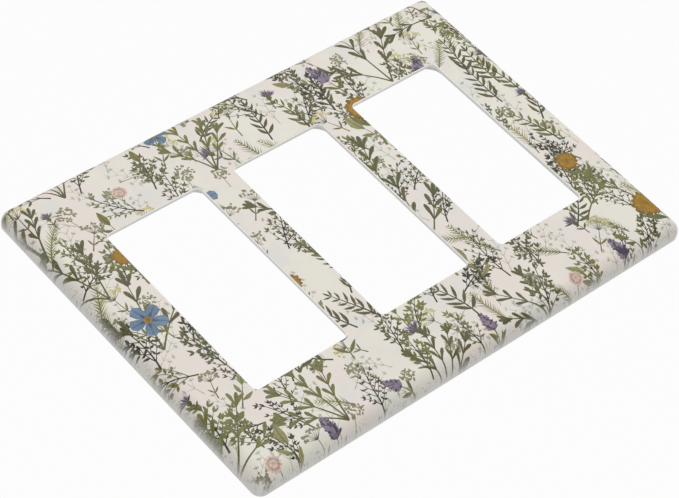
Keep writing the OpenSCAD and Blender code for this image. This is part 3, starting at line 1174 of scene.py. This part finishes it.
class NodeSheet:
    """A material's node tree with short calls for adding and joining nodes."""

    def __init__(self, name: str) -> None:
        """Starts a material with one Principled shader.

        Args:
            name: The material's name.
        """
        self.material = bpy.data.materials.new(name)
        self.material.use_nodes = True
        self.tree = self.material.node_tree
        self.shader = next(n for n in self.tree.nodes if n.bl_idname == "ShaderNodeBsdfPrincipled")

    def add(self, kind: str, inputs: dict | None = None, **settings) -> bpy.types.Node:
        """Adds a node.

        Args:
            kind: Its type, without the prefix.
            inputs: Values or sockets for its inputs, by name or index.
            settings: Its other properties.

        Returns:
            The node.
        """
        node = self.tree.nodes.new("ShaderNode" + kind)
        for key, value in settings.items():
            setattr(node, key, value)
        for key, value in (inputs or {}).items():
            self.feed(node.inputs[key], value)
        return node

    def feed(self, socket: bpy.types.NodeSocket, value) -> None:
        """Links a socket, or sets its value."""
        if isinstance(value, bpy.types.NodeSocket):
            self.tree.links.new(value, socket)
        else:
            socket.default_value = value

    def math(self, operation: str, *values, clamp: bool = False) -> bpy.types.NodeSocket:
        """Adds a Math node and returns its result."""
        node = self.add("Math", dict(enumerate(values)), operation=operation, use_clamp=clamp)
        return node.outputs[0]

    def ramp(self, value: bpy.types.NodeSocket, start: float, end: float, low: float = 0.0,
             high: float = 1.0) -> bpy.types.NodeSocket:
        """Maps a value smoothly from one range to another.

        Args:
            value: What is mapped.
            start: Where the smooth step starts.
            end: Where it ends.
            low: Result at the start.
            high: Result at the end.

        Returns:
            The mapped value.
        """
        node = self.add("MapRange", {"Value": value, "From Min": start, "From Max": end, "To Min": low,
                                     "To Max": high}, interpolation_type="SMOOTHSTEP")
        return node.outputs["Result"]

    def noise(self, scale: float, detail: float = 2.0, roughness: float = 0.5,
              stretch: tuple[float, float, float] | None = None) -> bpy.types.NodeSocket:
        """Adds a noise on object coordinates.

        Args:
            scale: Its scale, per metre.
            detail: Its octaves.
            roughness: How much the finer octaves count.
            stretch: Factors on the three coordinates.

        Returns:
            Its value, near 0.5.
        """
        place = self.add("TexCoord").outputs["Object"]
        if stretch:
            place = self.add("Mapping", {"Vector": place, "Scale": stretch}).outputs["Vector"]
        node = self.add("TexNoise", {"Vector": place, "Scale": scale, "Detail": detail,
                                     "Roughness": roughness})
        return node.outputs["Fac"]

    def blend(self, share, first, second, mode: str = "MIX") -> bpy.types.NodeSocket:
        """Mixes two colours.

        Args:
            share: Share of the second one.
            first: A colour or its socket.
            second: A colour or its socket.
            mode: Blend mode.

        Returns:
            The mixed colour.
        """
        node = self.add("Mix", data_type="RGBA", blend_type=mode)
        for index, value in ((0, share), (6, first), (7, second)):
            plain = isinstance(value, tuple) and len(value) == 3
            self.feed(node.inputs[index], (*value, 1.0) if plain else value)
        return node.outputs[2]

    def bump(self, height: bpy.types.NodeSocket, depth: float, strength: float = 1.0) -> None:
        """Roughens the surface's normal.

        Args:
            height: Height from 0 to 1.
            depth: What a height of 1 is, in metres.
            strength: Strength of the effect.
        """
        node = self.add("Bump", {"Height": height, "Distance": depth, "Strength": strength})
        self.feed(self.shader.inputs["Normal"], node.outputs["Normal"])


@dataclass(frozen=True)
class PrintFinish:
    """Satin print on a blotchy off-white ground, with streaks of print and painted shade low on the
    rolled edge, in metres.
    """

    half_w: float
    half_h: float
    cream: Colour = srgb(217, 214, 202)
    blush: Colour = srgb(218, 209, 201)
    cool: Colour = srgb(210, 208, 202)
    # Colour of the streaks on the rolled edge: print drawn over the edge, and painted shade that deepens
    # lower down
    streak_and_shade: Colour = srgb(132, 134, 116)
    bare: Colour = srgb(225, 224, 221)
    roughness: float = 0.46
    specular: float = 0.28
    fade_low: float = 0.0018
    fade_high: float = 0.0082
    ragged: float = 0.0016
    drawn: float = 0.003
    streak_shade_low: float = 0.0036
    streak_shade_high: float = 0.0058
    streak_shade_share: float = 0.7
    corner_start: float = 0.0029
    corner_end: float = 0.001
    foot_tone: float = 1.16
    tip_light: float = 0.3
    rib_dark: float = -0.52
    vein_dark: float = -0.24
    rim_dark: float = -0.44
    veins: float = 44.0
    vein_slant: float = 9.0
    grain_low: float = 0.48
    grain_span: float = 0.9

    def make(self) -> bpy.types.Material:
        """Builds the material.

        Returns:
            The material.
        """
        sheet = NodeSheet("printed_satin")
        place = sheet.add("SeparateXYZ", {"Vector": sheet.add("TexCoord").outputs["Object"]}).outputs
        ground = sheet.blend(sheet.ramp(sheet.noise(62, 3), 0.38, 0.58), self.cream, self.blush)
        ground = sheet.blend(sheet.ramp(sheet.noise(95, 4, 0.6), 0.48, 0.66), ground, self.cool)
        ink = sheet.add("Attribute", attribute_name="ink").outputs
        painted = sheet.blend(1.0, ink["Color"], self.shade(sheet), "MULTIPLY")
        grip = sheet.ramp(sheet.noise(2600, 2), 0.2, 0.42, 0.8, 1.0)
        colour = sheet.blend(sheet.math("MULTIPLY", ink["Alpha"], grip), ground, painted)
        drawn = sheet.noise(1700, 2, stretch=(1.0, 1.0, 0.03))
        # Grey-green streaks of print drawn down the rolled edge. They grow stronger towards the foot of
        # the roll, and that darkening lower down is painted shade
        low = sheet.ramp(place["Z"], self.streak_shade_high, self.streak_shade_low)
        low = sheet.math("MULTIPLY", low, self.streak_shade_share)
        streaks_and_shade = sheet.math("MULTIPLY", sheet.ramp(drawn, 0.56, 0.68), low)
        colour = sheet.blend(streaks_and_shade, colour, self.streak_and_shade)
        ragged = sheet.math("MULTIPLY_ADD", sheet.noise(700, 2), self.ragged, place["Z"])
        ragged = sheet.math("MULTIPLY_ADD", drawn, self.drawn, ragged)
        near_x, near_y = (sheet.ramp(sheet.math("ABSOLUTE", place[axis]), half - self.corner_start,
                                     half - self.corner_end)
                          for axis, half in (("X", self.half_w), ("Y", self.half_h)))
        faded = sheet.math("MAXIMUM", sheet.ramp(ragged, self.fade_high, self.fade_low),
                           sheet.math("MULTIPLY", near_x, near_y))
        sheet.feed(sheet.shader.inputs["Base Color"], sheet.blend(faded, colour, self.bare))
        sheet.shader.inputs["Roughness"].default_value = self.roughness
        sheet.shader.inputs["Specular IOR Level"].default_value = self.specular
        sheet.bump(sheet.noise(1500, 2), 0.00001, 0.5)
        return sheet.material

    def shade(self, sheet: NodeSheet) -> bpy.types.NodeSocket:
        """Shades a mark by its midrib, its side veins, its rim and its tip, and grains the pigment.

        Args:
            sheet: The material's nodes.

        Returns:
            A grey that the pigment is multiplied with.
        """
        leaf = sheet.add("Attribute", attribute_name="leaf")
        parts = sheet.add("SeparateXYZ", {"Vector": leaf.outputs["Vector"]}).outputs
        across = sheet.math("ABSOLUTE", parts["Y"])
        rib = sheet.math("MULTIPLY", sheet.ramp(across, 0.04, 0.24, 1.0, 0.0), parts["Z"])
        wave = sheet.math("SINE", sheet.math("SUBTRACT", sheet.math("MULTIPLY", parts["X"], self.veins),
                                             sheet.math("MULTIPLY", across, self.vein_slant)))
        vein = sheet.math("MULTIPLY", sheet.ramp(wave, 0.2, 1.0), parts["Z"])
        shade = self.foot_tone
        for amount, strength in ((rib, self.rib_dark), (vein, self.vein_dark),
                                 (sheet.ramp(across, 0.6, 1.0), self.rim_dark),
                                 (parts["X"], self.tip_light)):
            shade = sheet.math("MULTIPLY_ADD", amount, strength, shade)
        grain = sheet.math("MULTIPLY_ADD", sheet.noise(1300, 3, 0.65), self.grain_span, self.grain_low)
        shade = sheet.math("MULTIPLY", shade, grain)
        return sheet.add("CombineColor", {0: shade, 1: shade, 2: shade}).outputs[0]


@dataclass(frozen=True)
class MouldedFinish:
    """Moulded plastic with a fine surface."""

    name: str
    colour: Colour
    shade: Colour
    roughness: float
    grain: float
    grain_depth: float

    def make(self) -> bpy.types.Material:
        """Builds the material.

        Returns:
            The material.
        """
        sheet = NodeSheet(self.name)
        flow = sheet.ramp(sheet.noise(40, 3), 0.35, 0.7)
        colour = sheet.blend(flow, self.colour, self.shade)
        specks = sheet.ramp(sheet.noise(2400, 2), 0.66, 0.8, 0.0, 0.35)
        sheet.feed(sheet.shader.inputs["Base Color"], sheet.blend(specks, colour, self.shade))
        gloss = sheet.math("MULTIPLY_ADD", sheet.noise(300, 2), 0.12, self.roughness - 0.06)
        sheet.feed(sheet.shader.inputs["Roughness"], gloss)
        sheet.bump(sheet.noise(self.grain, 3, 0.6), self.grain_depth)
        return sheet.material


@dataclass(frozen=True)
class ZincFinish:
    """Bright zinc plate with a faint yellowish bloom."""

    colour: Colour = srgb(196, 198, 202)
    bloom: Colour = srgb(188, 184, 168)
    dull: Colour = srgb(140, 142, 146)

    def make(self) -> bpy.types.Material:
        """Builds the material.

        Returns:
            The material.
        """
        sheet = NodeSheet("bright_zinc")
        colour = sheet.blend(sheet.ramp(sheet.noise(420, 3), 0.4, 0.7), self.colour, self.bloom)
        colour = sheet.blend(sheet.ramp(sheet.noise(1700, 3), 0.55, 0.75, 0.0, 0.6), colour, self.dull)
        sheet.feed(sheet.shader.inputs["Base Color"], colour)
        sheet.shader.inputs["Metallic"].default_value = 1.0
        gloss = sheet.math("MULTIPLY_ADD", sheet.noise(900, 3), 0.3, 0.18)
        sheet.feed(sheet.shader.inputs["Roughness"], gloss)
        sheet.bump(sheet.noise(2600, 2), 0.000006)
        return sheet.material


# ---------------------------------------------------------------- the screws


@dataclass
class ThreadTree:
    """Geometry Nodes tree that winds a thread's ridge round a shank."""

    material: bpy.types.Material
    name: str = "helical_thread"
    steps_per_turn: int = 28
    run_in: float = 22.0
    least_width: float = 0.05
    lift: float = 0.4
    ridge_height: float = 1.2
    ridge_foot: float = 0.86
    ridge_crest: float = 0.16

    def make(self) -> bpy.types.NodeTree:
        """Builds the tree, with named inputs for the thread's sizes.

        Returns:
            The tree.
        """
        tree = bpy.data.node_groups.new(self.name, "GeometryNodeTree")
        face = tree.interface
        face.new_socket("Geometry", in_out="INPUT", socket_type="NodeSocketGeometry")
        for label in ("Root Radius", "Pitch", "Length", "Depth", "Top Z"):
            face.new_socket(label, in_out="INPUT", socket_type="NodeSocketFloat")
        face.new_socket("Geometry", in_out="OUTPUT", socket_type="NodeSocketGeometry")
        nodes, links = tree.nodes, tree.links
        given = nodes.new("NodeGroupInput")
        result = nodes.new("NodeGroupOutput")
        turns = self.math(tree, "DIVIDE", given.outputs["Length"], given.outputs["Pitch"])
        spiral = nodes.new("GeometryNodeCurveSpiral")
        spiral.inputs["Resolution"].default_value = self.steps_per_turn
        links.new(turns, spiral.inputs["Rotations"])
        radius = self.math(tree, "MULTIPLY_ADD", given.outputs["Depth"], self.lift,
                           given.outputs["Root Radius"])
        links.new(radius, spiral.inputs["Start Radius"])
        links.new(radius, spiral.inputs["End Radius"])
        links.new(given.outputs["Length"], spiral.inputs["Height"])
        upright = nodes.new("GeometryNodeSetCurveNormal")
        upright.mode = "Z_UP"
        links.new(spiral.outputs["Curve"], upright.inputs["Curve"])
        share = nodes.new("GeometryNodeSplineParameter").outputs["Factor"]
        run_in = self.math(tree, "MULTIPLY", share, self.run_in)
        run_out = self.math(tree, "MULTIPLY", self.math(tree, "SUBTRACT", 1.0, share), self.run_in)
        fade = self.math(tree, "MINIMUM", self.math(tree, "MINIMUM", run_in, run_out), 1.0)
        width = nodes.new("GeometryNodeSetCurveRadius")
        links.new(upright.outputs["Curve"], width.inputs["Curve"])
        links.new(self.math(tree, "MAXIMUM", fade, self.least_width), width.inputs["Radius"])
        ridge = nodes.new("GeometryNodeCurvePrimitiveQuadrilateral")
        ridge.mode = "TRAPEZOID"
        for label, share_of, source in (("Height", self.ridge_height, "Depth"),
                                        ("Bottom Width", self.ridge_foot, "Pitch"),
                                        ("Top Width", self.ridge_crest, "Pitch")):
            links.new(self.math(tree, "MULTIPLY", given.outputs[source], share_of), ridge.inputs[label])
        ridge.inputs["Offset"].default_value = 0.0
        turned = nodes.new("GeometryNodeTransform")
        turned.inputs["Rotation"].default_value = (0.0, 0.0, math.radians(90))
        links.new(ridge.outputs["Curve"], turned.inputs["Geometry"])
        sweep = nodes.new("GeometryNodeCurveToMesh")
        sweep.inputs["Fill Caps"].default_value = True
        links.new(width.outputs["Curve"], sweep.inputs["Curve"])
        links.new(turned.outputs["Geometry"], sweep.inputs["Profile Curve"])
        move = nodes.new("GeometryNodeTransform")
        drop = nodes.new("ShaderNodeCombineXYZ")
        links.new(self.math(tree, "SUBTRACT", given.outputs["Top Z"], given.outputs["Length"]),
                  drop.inputs["Z"])
        links.new(drop.outputs[0], move.inputs["Translation"])
        links.new(sweep.outputs["Mesh"], move.inputs["Geometry"])
        join = nodes.new("GeometryNodeJoinGeometry")
        links.new(move.outputs["Geometry"], join.inputs["Geometry"])
        links.new(given.outputs["Geometry"], join.inputs["Geometry"])
        real = nodes.new("GeometryNodeRealizeInstances")
        links.new(join.outputs["Geometry"], real.inputs["Geometry"])
        dress = nodes.new("GeometryNodeSetMaterial")
        dress.inputs["Material"].default_value = self.material
        links.new(real.outputs["Geometry"], dress.inputs["Geometry"])
        links.new(dress.outputs["Geometry"], result.inputs["Geometry"])
        return tree

    @staticmethod
    def math(tree: bpy.types.NodeTree, operation: str, *values) -> bpy.types.NodeSocket:
        """Adds a Math node to the tree.

        Args:
            tree: The tree.
            operation: What it does.
            values: Sockets or numbers.

        Returns:
            Its result.
        """
        node = tree.nodes.new("ShaderNodeMath")
        node.operation = operation
        for socket, value in zip(node.inputs, values):
            if isinstance(value, bpy.types.NodeSocket):
                tree.links.new(value, socket)
            else:
                socket.default_value = value
        return node.outputs[0]


@dataclass
class MountingScrews:
    """Six slotted countersunk screws with a real helical thread, in millimetres."""

    material: bpy.types.Material
    gang_pitch: float = 46.04
    span: float = 96.84
    top_z: float = 3.0
    length: float = 15.9
    head_r: float = 3.45
    head_land: float = 0.25
    head_chamfer: float = 0.12
    head_angle: float = 82.0
    neck_r: float = 1.5
    neck_l: float = 1.0
    thread_r: float = 1.75
    thread_depth: float = 0.42
    pitch: float = 0.79
    tip_l: float = 0.9
    drive_w: float = 1.1
    drive_d: float = 0.9
    tip_share: float = 0.72
    neck_blend: float = 0.25
    edge_break: float = 0.05
    sides: int = 56
    rows: tuple[str, ...] = ("bottom", "top")
    columns: tuple[str, ...] = ("left", "middle", "right")

    @property
    def neck_top(self) -> float:
        """Height at which the head's cone meets the neck."""
        slope = math.tan(math.radians(self.head_angle / 2))
        return self.top_z - self.head_land - (self.head_r - self.neck_r) / slope

    def profile(self) -> list[Point]:
        """Draws the screw's half section, from the tip's middle to the head's.

        Returns:
            Radius and height of each point.
        """
        root = self.thread_r - self.thread_depth
        tip = self.top_z - self.length
        neck_foot = self.neck_top - self.neck_l
        return [(root * self.tip_share, tip), (root, tip + self.tip_l * 0.5),
                (root, neck_foot - self.neck_blend), (self.neck_r, neck_foot),
                (self.neck_r, self.neck_top), (self.head_r, self.top_z - self.head_land),
                (self.head_r, self.top_z - self.head_chamfer),
                (self.head_r - self.head_chamfer, self.top_z)]

    def blank(self) -> bpy.types.Object:
        """Turns the blank and cuts the driver's slot.

        Returns:
            The blank's object, centred on its axis.
        """
        blank = bmesh.new()
        angles = np.linspace(0, math.tau, self.sides, endpoint=False)
        rings = [[blank.verts.new((r * math.cos(a) * MM, r * math.sin(a) * MM, z * MM)) for a in angles]
                 for r, z in self.profile()]
        for low, high in zip(rings, rings[1:]):
            for k in range(self.sides):
                n = (k + 1) % self.sides
                blank.faces.new([low[k], low[n], high[n], high[k]])
        blank.faces.new(rings[0][::-1])
        blank.faces.new(rings[-1])
        turned = self.as_object(blank, "screw_blank")
        cutter = bmesh.new()
        bmesh.ops.create_cube(cutter, size=1.0, matrix=Matrix.Translation((0, 0, self.top_z * MM))
                              @ Matrix.Diagonal((self.drive_w * MM, 4 * self.head_r * MM,
                                                 2 * self.drive_d * MM, 1.0)))
        knife = self.as_object(cutter, "slot_cutter")
        slot = turned.modifiers.new("slot", "BOOLEAN")
        slot.operation, slot.solver, slot.object = "DIFFERENCE", "EXACT", knife
        break_edge = turned.modifiers.new("break_edge", "BEVEL")
        break_edge.width, break_edge.segments = self.edge_break * MM, 2
        break_edge.angle_limit = math.radians(50)
        return self.bake(turned, knife)

    def as_object(self, source: bmesh.types.BMesh, name: str) -> bpy.types.Object:
        """Turns a bmesh into an object in the scene."""
        mesh = bpy.data.meshes.new(name)
        source.to_mesh(mesh)
        source.free()
        made = bpy.data.objects.new(name, mesh)
        bpy.context.scene.collection.objects.link(made)
        return made

    @staticmethod
    def bake(source: bpy.types.Object, *helpers: bpy.types.Object) -> bpy.types.Object:
        """Applies an object's modifiers and removes its helpers.

        Args:
            source: The object.
            helpers: Objects that its modifiers used.

        Returns:
            The same object with a plain mesh.
        """
        graph = bpy.context.evaluated_depsgraph_get()
        mesh = bpy.data.meshes.new_from_object(source.evaluated_get(graph))
        source.modifiers.clear()
        source.data = mesh
        for helper in helpers:
            bpy.data.objects.remove(helper)
        return source

    def threaded(self) -> bpy.types.Mesh:
        """Winds the thread round the blank.

        Returns:
            The mesh of one whole screw, centred on its axis.
        """
        screw = self.blank()
        tree = ThreadTree(self.material).make()
        start = self.neck_top - self.neck_l - 0.1
        sizes = {"Root Radius": (self.thread_r - self.thread_depth) * MM, "Pitch": self.pitch * MM,
                 "Depth": self.thread_depth * MM, "Top Z": start * MM,
                 "Length": (start - (self.top_z - self.length) - self.tip_l * 0.6) * MM}
        wind = screw.modifiers.new("thread", "NODES")
        wind.node_group = tree
        for item in tree.interface.items_tree:
            if item.in_out == "INPUT" and item.name in sizes:
                wind[item.identifier] = sizes[item.name]
        self.bake(screw)
        mesh = screw.data
        bpy.data.objects.remove(screw)
        return mesh

    def build(self) -> None:
        """Places a screw on each body and lets it stand for its solid."""
        pattern = self.threaded()
        pattern.set_sharp_from_angle(angle=math.radians(35))
        for row, row_name in zip(SIDES, self.rows):
            for gang, column in zip(GANGS, self.columns):
                node = f"screw_{row_name}_{column}"
                mesh = pattern.copy()
                mesh.name = node + "_threaded"
                mesh.transform(Matrix.Translation((gang * self.gang_pitch * MM,
                                                   row * self.span / 2 * MM, 0)))
                screw = bpy.data.objects.new(mesh.name, mesh)
                bpy.context.scene.collection.objects.link(screw)
                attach(screw, node)
                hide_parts(node)
                LOG.info("%s: %d faces", mesh.name, len(mesh.polygons))


# ---------------------------------------------------------------- the studio


@dataclass
class Studio:
    """Camera, pale floor and soft light."""

    eye: tuple[float, float, float] = (-0.36108, -0.31301, 0.53064)
    azimuth: float = -51.483
    elevation: float = 48.267
    roll: float = 12.96
    focal_px: float = 2451.3
    centre_px: Point = (411.83, 256.11)
    photo_px: Point = (679.0, 498.0)
    sensor: float = 36.0
    floor_z: float = -2.0
    floor_size: float = 5.0
    floor_glow: float = 0.94
    floor_grey: float = 0.8
    key_power: float = 9.0
    key_size: float = 1.1
    key_place: tuple[float, float, float] = (0.45, 0.55, 1.25)
    sky: float = 0.72

    def camera(self) -> None:
        """Sets the camera where the photograph was taken from."""
        data = bpy.data.cameras.new("photo_camera")
        data.sensor_width = self.sensor
        data.lens = self.sensor * self.focal_px / self.photo_px[0]
        data.shift_x = (self.photo_px[0] / 2 - self.centre_px[0]) / self.photo_px[0]
        data.shift_y = (self.centre_px[1] - self.photo_px[1] / 2) / self.photo_px[0]
        data.clip_start, data.clip_end = 0.01, 20.0
        camera = bpy.data.objects.new("photo_camera", data)
        a, e, r = (math.radians(v) for v in (self.azimuth, self.elevation, self.roll))
        back = Vector((math.sin(a) * math.cos(e), -math.cos(a) * math.cos(e), math.sin(e)))
        level = Vector((math.cos(a), math.sin(a), 0.0))
        up = back.cross(level)
        right = level * math.cos(r) + up * math.sin(r)
        turn = Matrix((right, back.cross(right), back)).transposed()
        camera.matrix_world = Matrix.Translation(self.eye) @ turn.to_4x4()
        bpy.context.scene.collection.objects.link(camera)
        bpy.context.scene.camera = camera

    def floor(self) -> None:
        """Lays the floor, white to the camera but for the object's shadow."""
        floor = bmesh.new()
        bmesh.ops.create_grid(floor, x_segments=1, y_segments=1, size=self.floor_size,
                              matrix=Matrix.Translation((0, 0, self.floor_z)))
        mesh = bpy.data.meshes.new("studio_floor")
        floor.to_mesh(mesh)
        floor.free()
        ground = bpy.data.objects.new("studio_floor", mesh)
        bpy.context.scene.collection.objects.link(ground)
        sheet = NodeSheet("studio_white")
        sheet.shader.inputs["Base Color"].default_value = (*[self.floor_grey] * 3, 1.0)
        sheet.shader.inputs["Roughness"].default_value = 0.9
        glow = sheet.add("Emission", {"Color": (1.0, 1.0, 1.0, 1.0), "Strength": 1.0})
        path = sheet.add("LightPath").outputs
        seen = sheet.math("MAXIMUM", path["Is Camera Ray"],
                          sheet.math("MAXIMUM", path["Is Glossy Ray"], path["Is Transmission Ray"]))
        mix = sheet.add("MixShader", {0: sheet.math("MULTIPLY", seen, self.floor_glow),
                                      1: sheet.shader.outputs[0], 2: glow.outputs[0]})
        out = next(n for n in sheet.tree.nodes if n.bl_idname == "ShaderNodeOutputMaterial")
        sheet.feed(out.inputs["Surface"], mix.outputs[0])
        mesh.materials.append(sheet.material)

    def lights(self) -> None:
        """Hangs one large soft lamp and sets the sky."""
        lamp = bpy.data.lights.new("soft_box", "AREA")
        lamp.shape, lamp.size, lamp.energy = "DISK", self.key_size, self.key_power
        box = bpy.data.objects.new("soft_box", lamp)
        place = Vector(self.key_place)
        box.matrix_world = Matrix.Translation(place) @ place.to_track_quat("Z", "Y").to_matrix().to_4x4()
        bpy.context.scene.collection.objects.link(box)
        world = bpy.data.worlds.new("studio_sky")
        world.use_nodes = True
        back = world.node_tree.nodes["Background"]
        back.inputs["Color"].default_value = (1.0, 1.0, 1.0, 1.0)
        path = world.node_tree.nodes.new("ShaderNodeLightPath")
        seen = world.node_tree.nodes.new("ShaderNodeMapRange")
        seen.inputs["To Min"].default_value = self.sky
        seen.inputs["To Max"].default_value = 1.0
        world.node_tree.links.new(path.outputs["Is Camera Ray"], seen.inputs["Value"])
        world.node_tree.links.new(seen.outputs["Result"], back.inputs["Strength"])
        bpy.context.scene.world = world
        bpy.context.scene.view_settings.view_transform = "Standard"

    def build(self) -> None:
        """Sets up the whole studio."""
        self.camera()
        self.floor()
        self.lights()


def dress_node(frame: dict, node: str, material: bpy.types.Material) -> None:
    """Gives a carried-over solid its finish.

    Args:
        node: The solid's name.
        material: Its finish.
    """
    slots = frame["nodes"][node].data.materials
    slots.clear()
    slots.append(material)
    LOG.info("%s: finish %s", node, material.name)


def main() -> None:
    """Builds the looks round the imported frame."""
    logging.basicConfig(level=logging.INFO, format="%(name)s: %(message)s")
    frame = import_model()
    Studio().build()
    cover_white = MouldedFinish("cover_white", srgb(237, 236, 232), srgb(231, 230, 226), roughness=0.42,
                                grain=1500, grain_depth=0.000008)
    plate_ivory = MouldedFinish("plate_ivory", srgb(226, 225, 219), srgb(218, 217, 209), roughness=0.55,
                                grain=2600, grain_depth=0.00002)
    dress_node(frame, "front_cover", cover_white.make())
    dress_node(frame, "mounting_plate", plate_ivory.make())
    shape = CoverShape.from_frame()
    finish = PrintFinish(shape.half_w * MM, shape.half_h * MM).make()
    for film in PrintedFilm(shape, Herbal(shape).grow(), finish).build():
        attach(film, "front_cover")
    MountingScrews(ZincFinish().make()).build()


if __name__ == "__main__":
    main()
